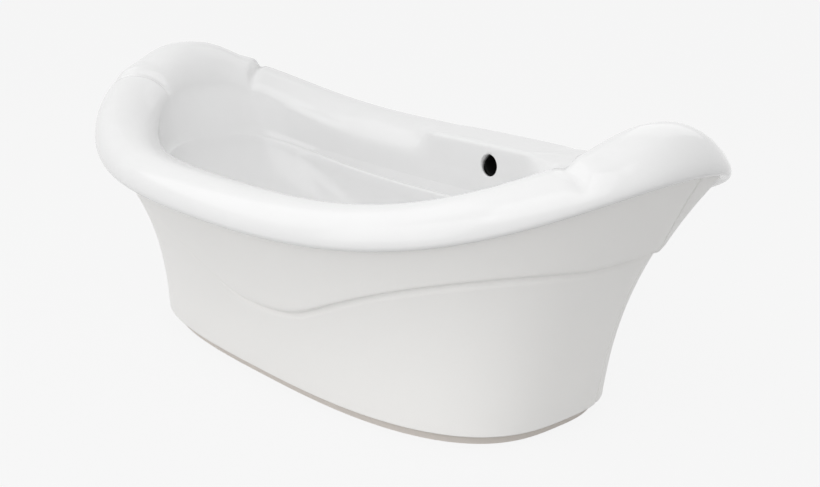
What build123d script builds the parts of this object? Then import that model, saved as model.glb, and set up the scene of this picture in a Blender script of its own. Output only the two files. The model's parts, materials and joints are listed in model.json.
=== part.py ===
from build123d import *
import os
from dataclasses import dataclass
from math import atan2, cos, degrees, pi, radians, sin

# Freestanding bathtub: a moulded basin in a two-piece apron, on a hidden levelling frame.
# Millimetres, +Z up, +X along the bath, the origin on the floor under its centre.
# The far side, where the tap deck and the overflow are, is +Y.

# Overall sizes
LENGTH = 1600
WIDTH = 926

# Rim
RIM_SQUARENESS = 2.16
LIP_MID = 371
LIP_END = 524
LIP_TUCK = 8
LIP_BULGE_RISE = 10
CROWN_SQUARENESS = 2.42
CROWN_INSET_SIDE = 59
CROWN_INSET_END = 82
CROWN_MID = 437
CROWN_END = 572
RISE_POWER = 3.6
HEADREST_RISE = 27
HEADREST_START = 0.93
HEADREST_POWER = 1.5
ROLL_SIDE = 100
ROLL_END = 46

# Grooves across the rim, at each side of both headrests
GROOVE_ANGLE = 13.3
GROOVE_TURN = 35
GROOVE_RADIUS = 14
GROOVE_DEPTH = 5
GROOVE_BEND = 62
GROOVE_SPAN = 110

# Basin
SHELL_WALL = 8
FLOOR_TOP = 108
FLOOR_HALF_LENGTH = 330
FLOOR_HALF_WIDTH = 150
FLOOR_SQUARENESS = 2.5
CREASE_MID = 285
CREASE_END = 400
CREASE_INSET_SIDE = 16
CREASE_INSET_END = 32
WALL_TOP_MID = 355
WALL_TOP_END = 525
BOWL_SIDE_POWER = 2.2
BOWL_END_POWER = 1.4

# Tap deck on the far rim
DECK_X = 25
DECK_HALF_LENGTH = 140
DECK_BLEND = 100
DECK_TOP = 433
DECK_INNER_STEP = 1
DECK_OUTER_INSET = 7
DECK_INNER_RADIUS = 12
DECK_OUTER_RADIUS = 26
DECK_TRIM = 1

# Overflow, in the wall under the deck
OVERFLOW_X = 60
OVERFLOW_Z = 382
OVERFLOW_RADIUS = 26
OVERFLOW_PAD_RADIUS = 40
OVERFLOW_PAD_DEPTH = 17
OVERFLOW_SPIGOT_SETBACK = 24
SPIGOT_LENGTH = 27
OVERFLOW_GASKET = 3
ELBOW_FLANGE = 4
ELBOW_WALL = 3
ELBOW_LAND = 5
ELBOW_END_ROOM = 6
HOSE_RADIUS = 16
HOSE_BORE = 13.5
HOSE_BEND = 60
HOSE_END_GAP = 4
HOSE_HEIGHTS = (310, 225, 130)
HOSE_LOW_SETBACK = 36
CLIP_WIDTH = 10
CLIP_SETBACK = 6
CLIP_WALL = 1.5

# Apron
APRON_WALL = 5
APRON_BASE_INSET_END = 232.5
APRON_BASE_INSET_SIDE = 164.5
APRON_BASE_SQUARENESS = 2.86
APRON_TOP_INSET = 33
APRON_TOP_SQUARENESS = 2.285
APRON_BASE_Z = 24
APRON_FLARE_POWER = 2.385
APRON_FLARE_SHARE = 0.714
APRON_FLANGE = 45
BEAD_HEIGHT = 6
BEAD_GAP = 0.8
SEAM_ANGLE = 11
SEAM_FLANGE = 24
SEAM_FLANGE_TOP = 0.42
SEAM_BOLT_SHARES = (0.1, 0.22, 0.34)

# Wave moulded into each apron half: the wall above it stands proud
WAVE_MEAN = 263
WAVE_HEIGHT = 83
WAVE_PERIOD = 150
WAVE_TROUGH = -82
WAVE_RELIEF = 8
WAVE_STEP = 7
WAVE_FADE_START = -122
WAVE_FADE_END = -62

# Plinth ring under the apron
PLINTH_SCREW_ANGLES = (-150, -115, -65, -30)
PLINTH_PILOT_FLOOR = 4
PLINTH_INSET = 18
PLINTH_WIDTH = 88
PLINTH_BOTTOM = 2

# Floor board and cross bars
BOARD_THICKNESS = 15
BOARD_HALF_LENGTH = 310
BOARD_HALF_WIDTH = 138
BOARD_SCREW_Y = 50
BOARD_COUNTERSINK = 5
BOARD_HOLE_GAP = 4
BAR_X = 250
BAR_WIDTH = 30
BAR_WALL = 2
BAR_END_INSET = 72.5
BAR_CAP = 3
BRACKET_LEG = 38
BRACKET_WIDTH = 26
BRACKET_THICKNESS = 3
BRACKET_HOLE = 23

# Levelling feet
FOOT_Y = 150
FOOT_PAD_RADIUS = 25
FOOT_PAD_HEIGHT = 12
STUD_RADIUS = 6
STUD_OVER_BAR = 16
NUT_HEIGHT = 8
NUT_RADIUS = 10

# Waste and trap
WASTE_HOLE_RADIUS = 25
WASTE_FLANGE_RADIUS = 36
WASTE_FLANGE_THICKNESS = 3
WASTE_TAIL_RADIUS = 23
WASTE_TAIL_WALL = 2.5
WASTE_TAIL_END = 62
TOP_GASKET = 1.5
BOTTOM_GASKET = 3
BOWL_RADIUS = 46
BOWL_WALL = 3.5
BOWL_BOTTOM = 10
BOWL_NECK = 10
DIP_TUBE_WALL = 2
DIP_TUBE_BOTTOM = 24
DIP_TUBE_TOP = 90
OUTLET_RADIUS = 20
OUTLET_WALL = 2
OUTLET_Z = 58
OUTLET_LENGTH = 75
INLET_Z = 64
INLET_LENGTH = 40
PLUG_RADIUS = 31
PLUG_THICKNESS = 4
PLUG_DOME = 3
PLUG_STEM_RADIUS = 5
PLUG_STEM_LENGTH = 40
SPIDER_HEIGHT = 6
SPIDER_BOSS = 9
SPIDER_ARM = 4
SEAL_INNER = 23
SEAL_HEIGHT = 3
SEAL_INSET = 2
TOP_GASKET_INSET = 1
BOTTOM_GASKET_INSET = 2

# Fits and fasteners
SEAT_GAP = 0.3
RUNNING_GAP = 0.05
HOLE_GAP = 0.4
SCREW_RADIUS = 2
SCREW_HEAD_RADIUS = 4.5
SCREW_HEAD_HEIGHT = 2.5
BOLT_RADIUS = 3
BOLT_HEAD_RADIUS = 6
BOLT_HEAD_HEIGHT = 4
SCREW_TIP = 3
BOLT_TIP = 7
PILOT_GAP = 1

# Counts that set how finely the curves are drawn
QUARTERS = 4
QUARTER_POINTS = 21
NUDGE = 0.001
BOWL_STEPS = 6
ROUND_STEPS = 4
APRON_SECTIONS = 61
WALL_POINTS = 6

# Heights that follow from the stack under the basin
FLOOR_UNDER = FLOOR_TOP - SHELL_WALL
BOARD_BOTTOM = FLOOR_UNDER - BOARD_THICKNESS
BAR_HEIGHT = BOARD_BOTTOM - APRON_BASE_Z
BASE_HALF_LENGTH = LENGTH / 2 - APRON_BASE_INSET_END
BASE_HALF_WIDTH = WIDTH / 2 - APRON_BASE_INSET_SIDE
BAR_HALF_LENGTH = BASE_HALF_WIDTH - BAR_END_INSET
CROWN_HALF_LENGTH = LENGTH / 2 - CROWN_INSET_END
CROWN_HALF_WIDTH = WIDTH / 2 - CROWN_INSET_SIDE
WALL_HALF_LENGTH = CROWN_HALF_LENGTH - ROLL_END
WALL_HALF_WIDTH = CROWN_HALF_WIDTH - ROLL_SIDE
CREASE_HALF_LENGTH = WALL_HALF_LENGTH - CREASE_INSET_END
CREASE_HALF_WIDTH = WALL_HALF_WIDTH - CREASE_INSET_SIDE
DECK_INNER = WALL_HALF_WIDTH + DECK_INNER_STEP
DECK_OUTER = WIDTH / 2 - DECK_OUTER_INSET
OVERFLOW_PAD_BACK = DECK_INNER + OVERFLOW_PAD_DEPTH
OVERFLOW_SPIGOT_Y = OVERFLOW_PAD_BACK + OVERFLOW_SPIGOT_SETBACK
ELBOW_FRONT = OVERFLOW_PAD_BACK + OVERFLOW_GASKET
ELBOW_RADIUS = OVERFLOW_RADIUS + ELBOW_LAND
ELBOW_BACK = OVERFLOW_SPIGOT_Y + HOSE_BORE + ELBOW_END_ROOM
SPIGOT_BOTTOM = OVERFLOW_Z - ELBOW_RADIUS - SPIGOT_LENGTH
APRON_TOP_LENGTH = LENGTH / 2 - APRON_TOP_INSET
APRON_TOP_WIDTH = WIDTH / 2 - APRON_TOP_INSET
SEAM_ROTATIONS = (0, 180)


@dataclass
class Ring:
    """A closed line round the bath: an oval in plan, whose height rises towards both ends."""

    half_length: float
    end_height: float
    half_width: float
    mid_height: float
    squareness: float
    headrest: float = 0.0
    deck: tuple = None


def spread(start, end, count):
    """Evenly spread values from start to end."""
    return [start + (end - start) * i / (count - 1) for i in range(count)]


def smooth_step(value):
    """Ease from 0 to 1."""
    value = min(max(value, 0.0), 1.0)
    return value * value * (3 - 2 * value)


def oval_radius(phi, half_length, half_width, squareness):
    """Distance from the axis to a superellipse, in the direction phi."""
    along = abs(cos(phi)) / half_length
    across = abs(sin(phi)) / half_width
    return (along**squareness + across**squareness) ** (-1 / squareness)


def rise(mid_height, end_height, ratio):
    """Height at a share of the half length: low at the middle, high at the ends."""
    return mid_height + (end_height - mid_height) * ratio**RISE_POWER


def ring_point(ring, phi):
    """Point of a ring in the direction phi."""
    radius = oval_radius(phi, ring.half_length, ring.half_width, ring.squareness)
    x = radius * cos(phi)
    y = radius * sin(phi)
    ratio = abs(x) / ring.half_length
    z = rise(ring.mid_height, ring.end_height, ratio)
    over = max(0.0, (ratio - HEADREST_START) / (1 - HEADREST_START))
    z += ring.headrest * HEADREST_RISE * over**HEADREST_POWER
    if ring.deck and y > 0:
        deck_width, deck_height = ring.deck
        share = 1 - smooth_step((abs(x - DECK_X) - DECK_HALF_LENGTH) / DECK_BLEND)
        y += share * y * (deck_width / ring.half_width - 1)
        z += share * (deck_height - z)
    return Vector(x, y, z)


def ring_wire(ring):
    """Closed smooth wire along a ring, in one arc for each end and each side."""
    edges = []
    for quarter in range(QUARTERS):
        start = (quarter - 0.5) * 2 * pi / QUARTERS
        angles = spread(start, start + 2 * pi / QUARTERS, QUARTER_POINTS)
        tangents = [ring_point(ring, angle + NUDGE) - ring_point(ring, angle - NUDGE)
                    for angle in (angles[0], angles[-1])]
        edges.append(Edge.make_spline([ring_point(ring, angle) for angle in angles], tangents=tangents))
    return Wire(edges)


def oval_face(half_length, half_width, squareness, height):
    """Flat oval face at a height."""
    return Face(ring_wire(Ring(half_length, height, half_width, height, squareness)))


def front_rings():
    """Rings over the water side of the moulding, from the floor to the edge of the lip."""
    rings = [Ring(FLOOR_HALF_LENGTH, FLOOR_TOP, FLOOR_HALF_WIDTH, FLOOR_TOP, FLOOR_SQUARENESS)]
    for step in range(1, BOWL_STEPS + 1):
        angle = step / BOWL_STEPS * pi / 2
        out_end = sin(angle) ** (2 / BOWL_END_POWER)
        up_end = 1 - abs(cos(angle)) ** (2 / BOWL_END_POWER)
        out_side = sin(angle) ** (2 / BOWL_SIDE_POWER)
        up_side = 1 - abs(cos(angle)) ** (2 / BOWL_SIDE_POWER)
        rings.append(Ring(FLOOR_HALF_LENGTH + (CREASE_HALF_LENGTH - FLOOR_HALF_LENGTH) * out_end,
                          FLOOR_TOP + (CREASE_END - FLOOR_TOP) * up_end,
                          FLOOR_HALF_WIDTH + (CREASE_HALF_WIDTH - FLOOR_HALF_WIDTH) * out_side,
                          FLOOR_TOP + (CREASE_MID - FLOOR_TOP) * up_side,
                          FLOOR_SQUARENESS))
    deck_corner = DECK_INNER_RADIUS * (1 - cos(pi / 4))
    deck_roll = ((DECK_INNER, WALL_TOP_MID),
                 (DECK_INNER, DECK_TOP - DECK_INNER_RADIUS),
                 (DECK_INNER + deck_corner, DECK_TOP - deck_corner),
                 (DECK_INNER + DECK_INNER_RADIUS, DECK_TOP + DECK_TRIM),
                 (CROWN_HALF_WIDTH, DECK_TOP + DECK_TRIM))
    for step in range(ROUND_STEPS + 1):
        angle = step / ROUND_STEPS * pi / 2
        rings.append(Ring(CROWN_HALF_LENGTH - ROLL_END * cos(angle),
                          WALL_TOP_END + (CROWN_END - WALL_TOP_END) * sin(angle),
                          CROWN_HALF_WIDTH - ROLL_SIDE * cos(angle),
                          WALL_TOP_MID + (CROWN_MID - WALL_TOP_MID) * sin(angle),
                          CROWN_SQUARENESS, sin(angle), deck_roll[step]))
    deck_shoulder = DECK_OUTER_RADIUS * (1 - cos(pi / 4))
    deck_dome = ((DECK_OUTER - DECK_OUTER_RADIUS, DECK_TOP + DECK_TRIM),
                 (DECK_OUTER - deck_shoulder, DECK_TOP - deck_shoulder),
                 None,
                 None)
    lip_bulge_mid = LIP_MID + LIP_BULGE_RISE
    lip_bulge_end = LIP_END + LIP_BULGE_RISE
    for step in range(1, ROUND_STEPS + 1):
        angle = step / ROUND_STEPS * pi / 2
        squareness = CROWN_SQUARENESS + (RIM_SQUARENESS - CROWN_SQUARENESS) * sin(angle)
        rings.append(Ring(CROWN_HALF_LENGTH + CROWN_INSET_END * sin(angle),
                          lip_bulge_end + (CROWN_END - lip_bulge_end) * cos(angle),
                          CROWN_HALF_WIDTH + CROWN_INSET_SIDE * sin(angle),
                          lip_bulge_mid + (CROWN_MID - lip_bulge_mid) * cos(angle),
                          squareness, cos(angle), deck_dome[step - 1]))
    rings.append(Ring(LENGTH / 2 - LIP_TUCK, LIP_END, WIDTH / 2 - LIP_TUCK, LIP_MID, RIM_SQUARENESS))
    return rings


def offset_profile(points, distance):
    """Move a profile to its back by a distance, square to its own direction."""
    moved = []
    for i, (out, up) in enumerate(points):
        out_before, up_before = points[max(i - 1, 0)]
        out_after, up_after = points[min(i + 1, len(points) - 1)]
        angle = atan2(up_after - up_before, out_after - out_before)
        moved.append((out + distance * sin(angle), up - distance * cos(angle)))
    return moved


def back_rings(rings):
    """Rings over the hidden side of the moulding, one wall behind the front ones."""
    ends = offset_profile([(r.half_length, r.end_height) for r in rings], SHELL_WALL)
    sides = offset_profile([(r.half_width, r.mid_height) for r in rings], SHELL_WALL)
    backs = []
    for ring, (length, end_height), (width, mid_height) in zip(rings, ends, sides):
        backs.append(Ring(length, end_height, width, mid_height, ring.squareness, ring.headrest))
    backs[0] = Ring(FLOOR_HALF_LENGTH, FLOOR_UNDER, FLOOR_HALF_WIDTH, FLOOR_UNDER, FLOOR_SQUARENESS)
    return backs


FRONT_RINGS = front_rings()
BACK_RINGS = back_rings(FRONT_RINGS)
CREASE = BOWL_STEPS
CROWN = CREASE + 1 + ROUND_STEPS
LIP = CROWN + ROUND_STEPS + 1
BANDS = ((0, CREASE), (CREASE, CREASE + 1), (CREASE + 1, CROWN), (CROWN, LIP - 1), (LIP - 1, LIP))


def under_rim(phi, radius):
    """Height of the rim's hidden side at a distance from the axis."""
    points = []
    for ring in BACK_RINGS[CROWN:]:
        point = ring_point(ring, phi)
        points.append((point.X * cos(phi) + point.Y * sin(phi), point.Z))
    for (near, near_height), (far, far_height) in zip(points, points[1:]):
        if near <= radius <= far:
            share = (radius - near) / (far - near)
            return near_height + share * (far_height - near_height)
    raise ValueError("the apron's top edge lies outside the rim")


def tube(radius, bore, bottom, top, centre=(0, 0)):
    """Upright tube between two heights."""
    plane = Plane((*centre, bottom))
    outer = Solid.make_cylinder(radius, top - bottom, plane)
    inner = Solid.make_cylinder(bore, top - bottom, plane)
    return outer - inner


def rod(radius, start, end):
    """Round rod between two points."""
    start = Vector(*start)
    path = Vector(*end) - start
    return Solid.make_cylinder(radius, path.length, Plane(start, z_dir=path))


def block(low, high):
    """Box between two corners."""
    size = [top - bottom for bottom, top in zip(low, high)]
    return Solid.make_box(*size, Plane(low))


def hexagon(radius, height, bottom, centre):
    """Upright hexagonal prism."""
    sketch = Plane((*centre, bottom)) * RegularPolygon(radius, 6)
    return extrude(sketch, height).solid()


def screw(point, length):
    """Downward pan-head screw whose head sits on the point."""
    x, y, z = point
    shank = rod(SCREW_RADIUS, (x, y, z - length), (x, y, z))
    head = rod(SCREW_HEAD_RADIUS, (x, y, z), (x, y, z + SCREW_HEAD_HEIGHT))
    return (shank + head).solid()


def groove_cutter(side_x, side_y):
    """Bent round bar that follows the rim's crown across a groove."""
    groove = radians(GROOVE_ANGLE)
    phi = atan2(side_y * sin(groove), side_x * cos(groove))
    top = ring_point(FRONT_RINGS[CROWN], phi)
    heading = atan2(side_y * sin(radians(GROOVE_TURN)), side_x * cos(radians(GROOVE_TURN)))
    along = Vector(cos(heading), sin(heading), 0)
    centre = top - Vector(0, 0, GROOVE_BEND)
    pivot = Axis(centre, Vector(-sin(heading), cos(heading), 0))
    arm = GROOVE_BEND + GROOVE_RADIUS - GROOVE_DEPTH
    half_span = GROOVE_SPAN / 2
    start = Plane(centre + Vector(0, 0, arm), x_dir=pivot.direction, z_dir=along)
    disc = Face(Wire.make_circle(GROOVE_RADIUS, start))
    return Solid.revolve(disc.rotate(pivot, -half_span), GROOVE_SPAN, pivot)


def basin():
    """Moulded basin with its rolled rim, lip, tap deck, headrests, overflow and waste holes."""
    front = [ring_wire(ring) for ring in FRONT_RINGS]
    back = [ring_wire(ring) for ring in BACK_RINGS]
    faces = []
    for wires in (front, back):
        for start, end in BANDS:
            faces += Shell.make_loft(wires[start:end + 1], end - start == 1).faces()
    faces += Shell.make_loft([front[LIP], back[LIP]], True).faces()
    faces += [Face(front[0]), Face(back[0])]
    body = Solid(Shell(faces))
    deck_reach = DECK_HALF_LENGTH + DECK_BLEND
    body -= block((DECK_X - deck_reach, DECK_INNER - DECK_INNER_RADIUS, DECK_TOP),
                  (DECK_X + deck_reach, DECK_OUTER, DECK_TOP + ROLL_SIDE))
    overflow_front = DECK_INNER + SHELL_WALL / 2
    body += rod(OVERFLOW_PAD_RADIUS, (OVERFLOW_X, overflow_front, OVERFLOW_Z),
                (OVERFLOW_X, OVERFLOW_PAD_BACK, OVERFLOW_Z))
    body -= rod(OVERFLOW_PAD_RADIUS + OVERFLOW_GASKET, (OVERFLOW_X, OVERFLOW_PAD_BACK, OVERFLOW_Z),
                (OVERFLOW_X, OVERFLOW_PAD_BACK + ROLL_SIDE, OVERFLOW_Z))
    body -= rod(OVERFLOW_RADIUS, (OVERFLOW_X, FLOOR_HALF_WIDTH, OVERFLOW_Z),
                (OVERFLOW_X, OVERFLOW_PAD_BACK, OVERFLOW_Z))
    body -= rod(WASTE_HOLE_RADIUS, (OVERFLOW_X, 0, BOARD_BOTTOM), (OVERFLOW_X, 0, CREASE_MID))
    for side_x in (-1, 1):
        for side_y in (-1, 1):
            body -= groove_cutter(side_x, side_y)
    return body.solid()


def apron_radius(phi, share):
    """Distance from the axis to the apron's plain outer face, at a share of its height."""
    flare = (1 - APRON_FLARE_SHARE) * share + APRON_FLARE_SHARE * share**APRON_FLARE_POWER
    return oval_radius(phi,
                       BASE_HALF_LENGTH + (APRON_TOP_LENGTH - BASE_HALF_LENGTH) * flare,
                       BASE_HALF_WIDTH + (APRON_TOP_WIDTH - BASE_HALF_WIDTH) * flare,
                       APRON_BASE_SQUARENESS + (APRON_TOP_SQUARENESS - APRON_BASE_SQUARENESS) * share)


def apron_height(phi, share):
    """Height on the apron at a share of the way from its foot to the lip."""
    top_x = abs(apron_radius(phi, 1) * cos(phi)) / APRON_TOP_LENGTH
    return APRON_BASE_Z + (rise(LIP_MID, LIP_END, top_x) - APRON_BASE_Z) * share


def apron_point(phi, share, offset):
    """Point of the apron, moved out from its plain face by an offset."""
    radius = apron_radius(phi, share) + offset
    return Vector(radius * cos(phi), radius * sin(phi), apron_height(phi, share))


def polar(phi, radius, height):
    """Point at a distance from the axis."""
    return Vector(radius * cos(phi), radius * sin(phi), height)


def apron_section(phi):
    """Closed section of the front apron in the upright plane at phi."""
    angle = degrees(phi)
    wave = WAVE_MEAN - WAVE_HEIGHT * cos(2 * pi * (angle - WAVE_TROUGH) / WAVE_PERIOD)
    full = apron_height(phi, 1) - APRON_BASE_Z
    step_low = (wave - APRON_BASE_Z) / full
    step_high = step_low + WAVE_STEP / full
    fade = smooth_step((angle - WAVE_FADE_START) / (WAVE_FADE_END - WAVE_FADE_START))
    relief = WAVE_RELIEF * fade
    lower = [apron_point(phi, share, 0) for share in spread(0, step_low, WALL_POINTS)]
    upper = [apron_point(phi, share, relief) for share in spread(step_high, 1, WALL_POINTS)]
    inner = [apron_point(phi, share, -APRON_WALL) for share in spread(1, 0, WALL_POINTS)]
    flange_top = APRON_BASE_Z + APRON_WALL
    foot_radius = apron_radius(phi, 0)
    inner[-1] = polar(phi, foot_radius - APRON_WALL, flange_top)
    top_radius = apron_radius(phi, 1)
    edge = under_rim(phi, top_radius) - BEAD_HEIGHT
    corners = [upper[-1],
               polar(phi, top_radius, edge),
               polar(phi, top_radius - APRON_WALL, edge),
               inner[0]]
    foot = [inner[-1],
            polar(phi, foot_radius - APRON_FLANGE, flange_top),
            polar(phi, foot_radius - APRON_FLANGE, APRON_BASE_Z),
            lower[0]]
    edges = [Edge.make_spline(lower), Edge.make_line(lower[-1], upper[0]), Edge.make_spline(upper)]
    edges += [Edge.make_line(a, b) for a, b in zip(corners, corners[1:])]
    edges += [Edge.make_spline(inner)]
    edges += [Edge.make_line(a, b) for a, b in zip(foot, foot[1:])]
    return Wire(edges)


def seam_flange(phi, heading):
    """Inward flange at one end of the apron, in the upright plane at phi."""
    lap = APRON_WALL / 2
    shares = spread(0, SEAM_FLANGE_TOP, WALL_POINTS)
    outer = [apron_point(phi, share, -lap) for share in shares]
    inner = [apron_point(phi, share, -APRON_WALL - SEAM_FLANGE) for share in reversed(shares)]
    wire = Wire.make_polygon(outer + inner, close=True)
    direction = Vector(-sin(phi), cos(phi), 0) * heading * APRON_WALL
    return Solid.extrude(Face(wire), direction)


def seam_bolt_points():
    """Middle of each bolt hole in the seam plane at the right-hand end."""
    phi = radians(SEAM_ANGLE)
    return [apron_point(phi, share, -APRON_WALL - SEAM_FLANGE / 2) for share in SEAM_BOLT_SHARES]


def seam_normal():
    """Direction square to the seam plane, towards the far half at the right-hand end."""
    phi = radians(SEAM_ANGLE)
    return Vector(-sin(phi), cos(phi), 0)


def seam_rod(point, radius, back, front):
    """Rod through the seam flanges, from a distance behind the seam to a distance before it."""
    return rod(radius, point + seam_normal() * back, point + seam_normal() * front)


def plinth_screw_points():
    """Places on the apron's bottom flange where screws hold it to the plinth."""
    points = []
    for angle in PLINTH_SCREW_ANGLES:
        phi = radians(angle)
        radius = apron_radius(phi, 0) - (PLINTH_INSET + APRON_FLANGE) / 2
        points.append(polar(phi, radius, APRON_BASE_Z + APRON_WALL))
    return points


def front_apron():
    """Near half of the apron with its wave, bottom flange and seam flanges."""
    angles = spread(SEAM_ANGLE - 180, SEAM_ANGLE, APRON_SECTIONS)
    body = Solid.make_loft([apron_section(radians(angle)) for angle in angles], False)
    body += seam_flange(radians(SEAM_ANGLE), -1)
    body += seam_flange(radians(SEAM_ANGLE - 180), 1)
    for point in seam_bolt_points():
        hole = seam_rod(point, BOLT_RADIUS + HOLE_GAP, -APRON_WALL, APRON_WALL)
        for turn in SEAM_ROTATIONS:
            body -= hole.rotate(Axis.Z, turn)
    for point in plinth_screw_points():
        body -= rod(SCREW_RADIUS + HOLE_GAP, point - Vector(0, 0, APRON_WALL), point)
    return body.solid()


def rim_bead():
    """Adhesive bead between the top edge of each apron half and the rim."""
    sections = []
    for angle in spread(SEAM_ANGLE - 180, SEAM_ANGLE, APRON_SECTIONS):
        phi = radians(angle)
        outer = apron_radius(phi, 1)
        inner = outer - APRON_WALL
        bottom = under_rim(phi, outer) - BEAD_HEIGHT + SEAT_GAP
        points = [polar(phi, outer, bottom),
                  polar(phi, outer, under_rim(phi, outer) - BEAD_GAP),
                  polar(phi, inner, under_rim(phi, inner) - BEAD_GAP),
                  polar(phi, inner, bottom)]
        sections.append(Wire.make_polygon(points, close=True))
    half = Solid.make_loft(sections, False)
    return [half.rotate(Axis.Z, turn) for turn in SEAM_ROTATIONS]


def plinth_ring():
    """Recessed ring that the apron stands on."""
    outer = oval_face(BASE_HALF_LENGTH - PLINTH_INSET, BASE_HALF_WIDTH - PLINTH_INSET,
                      APRON_BASE_SQUARENESS, PLINTH_BOTTOM)
    reach = PLINTH_INSET + PLINTH_WIDTH
    inner = oval_face(BASE_HALF_LENGTH - reach, BASE_HALF_WIDTH - reach,
                      APRON_BASE_SQUARENESS, PLINTH_BOTTOM)
    height = Vector(0, 0, APRON_BASE_Z - PLINTH_BOTTOM)
    body = Solid.extrude(outer, height) - Solid.extrude(inner, height)
    pilot = SCREW_RADIUS + RUNNING_GAP
    pilot_bottom = PLINTH_BOTTOM + PLINTH_PILOT_FLOOR
    for point in plinth_screw_points():
        hole = rod(pilot, (point.X, point.Y, pilot_bottom), (point.X, point.Y, APRON_BASE_Z))
        for turn in SEAM_ROTATIONS:
            body -= hole.rotate(Axis.Z, turn)
    for x, y in bracket_screw_points():
        body -= rod(pilot, (x, y, pilot_bottom), (x, y, APRON_BASE_Z))
    return body.solid()


def floor_board():
    """Board bonded under the basin's floor."""
    face = oval_face(BOARD_HALF_LENGTH, BOARD_HALF_WIDTH, FLOOR_SQUARENESS, BOARD_BOTTOM)
    body = Solid.extrude(face, Vector(0, 0, BOARD_THICKNESS))
    body -= rod(BOWL_RADIUS + BOARD_HOLE_GAP, (OVERFLOW_X, 0, BOARD_BOTTOM), (OVERFLOW_X, 0, FLOOR_UNDER))
    for x, y in board_screw_points():
        body -= rod(SCREW_RADIUS + HOLE_GAP, (x, y, BOARD_BOTTOM), (x, y, FLOOR_UNDER))
        body -= rod(SCREW_HEAD_RADIUS + HOLE_GAP, (x, y, FLOOR_UNDER - BOARD_COUNTERSINK),
                    (x, y, FLOOR_UNDER))
    return body.solid()


def board_screw_points():
    """Places where the board is screwed to the bars."""
    return [(x, y) for x in (-BAR_X, BAR_X) for y in (-BOARD_SCREW_Y, BOARD_SCREW_Y)]


def foot_points():
    """Centres of the levelling feet, counter-clockwise from the near left one."""
    return [(-BAR_X, -FOOT_Y), (BAR_X, -FOOT_Y), (BAR_X, FOOT_Y), (-BAR_X, FOOT_Y)]


def bracket_side(x):
    """Inner face of the bar at x, and the direction from it to the middle of the bath."""
    inward = -1 if x > 0 else 1
    return x + inward * BAR_WIDTH / 2, inward


def bracket_points():
    """Bar and end that each bracket belongs to."""
    y = BAR_HALF_LENGTH - BRACKET_WIDTH / 2
    return [(x, side * y) for x in (-BAR_X, BAR_X) for side in (-1, 1)]


def bracket_screw_points():
    """Places where the brackets are screwed to the plinth."""
    points = []
    for x, y in bracket_points():
        face, inward = bracket_side(x)
        points.append((face + inward * BRACKET_HOLE, y))
    return points


def cross_bar(x):
    """Rectangular steel tube across the bath, with the holes for its feet and screws."""
    low = (x - BAR_WIDTH / 2, -BAR_HALF_LENGTH, APRON_BASE_Z)
    high = (x + BAR_WIDTH / 2, BAR_HALF_LENGTH, BOARD_BOTTOM)
    inner_low = (low[0] + BAR_WALL, low[1], low[2] + BAR_WALL)
    inner_high = (high[0] - BAR_WALL, high[1], high[2] - BAR_WALL)
    body = block(low, high) - block(inner_low, inner_high)
    for foot_x, foot_y in foot_points():
        if foot_x == x:
            body -= rod(STUD_RADIUS + HOLE_GAP, (x, foot_y, APRON_BASE_Z), (x, foot_y, BOARD_BOTTOM))
    for screw_x, screw_y in board_screw_points():
        if screw_x == x:
            body -= rod(SCREW_RADIUS + RUNNING_GAP, (x, screw_y, BOARD_BOTTOM - BAR_WALL),
                        (x, screw_y, BOARD_BOTTOM))
    for bracket_x, bracket_y in bracket_points():
        if bracket_x == x:
            face, inward = bracket_side(x)
            z = APRON_BASE_Z + BRACKET_HOLE
            body -= rod(SCREW_RADIUS + RUNNING_GAP, (face, bracket_y, z),
                        (face - inward * BAR_WALL, bracket_y, z))
    return body.solid()


def bar_end_caps():
    """Plastic caps on the ends of the cross bars."""
    caps = []
    for x in (-BAR_X, BAR_X):
        for side in (-1, 1):
            ends = sorted((side * BAR_HALF_LENGTH, side * (BAR_HALF_LENGTH + BAR_CAP)))
            caps.append(block((x - BAR_WIDTH / 2, ends[0], APRON_BASE_Z),
                              (x + BAR_WIDTH / 2, ends[1], BOARD_BOTTOM)))
    return caps


def bar_brackets():
    """Angle brackets between the bars and the plinth."""
    brackets = []
    for x, y in bracket_points():
        face, inward = bracket_side(x)
        half = BRACKET_WIDTH / 2
        leg = sorted((face, face + inward * BRACKET_LEG))
        wall = sorted((face, face + inward * BRACKET_THICKNESS))
        flat = block((leg[0], y - half, APRON_BASE_Z),
                     (leg[1], y + half, APRON_BASE_Z + BRACKET_THICKNESS))
        upright = block((wall[0], y - half, APRON_BASE_Z),
                        (wall[1], y + half, APRON_BASE_Z + BRACKET_LEG))
        body = flat + upright
        hole = face + inward * BRACKET_HOLE
        body -= rod(SCREW_RADIUS + HOLE_GAP, (hole, y, APRON_BASE_Z),
                    (hole, y, APRON_BASE_Z + BRACKET_THICKNESS))
        z = APRON_BASE_Z + BRACKET_HOLE
        body -= rod(SCREW_RADIUS + HOLE_GAP, (face, y, z),
                    (face + inward * BRACKET_THICKNESS, y, z))
        brackets.append(body.solid())
    return brackets


def bracket_screws():
    """Screws from each bracket into the plinth and into its bar."""
    screws = []
    top = APRON_BASE_Z + BRACKET_THICKNESS
    for x, y in bracket_screw_points():
        screws.append(screw((x, y, top), top - PLINTH_BOTTOM - PLINTH_PILOT_FLOOR - PILOT_GAP))
    for x, y in bracket_points():
        face, inward = bracket_side(x)
        z = APRON_BASE_Z + BRACKET_HOLE
        front = face + inward * BRACKET_THICKNESS
        shank = rod(SCREW_RADIUS, (front, y, z), (face - inward * (BAR_WALL + SCREW_TIP), y, z))
        head = rod(SCREW_HEAD_RADIUS, (front, y, z), (front + inward * SCREW_HEAD_HEIGHT, y, z))
        screws.append((shank + head).solid())
    return screws


def board_screws():
    """Screws from the board into the bars."""
    seat = FLOOR_UNDER - BOARD_COUNTERSINK
    length = seat - BOARD_BOTTOM + BAR_WALL + SCREW_TIP
    return [screw((x, y, seat), length) for x, y in board_screw_points()]


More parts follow.
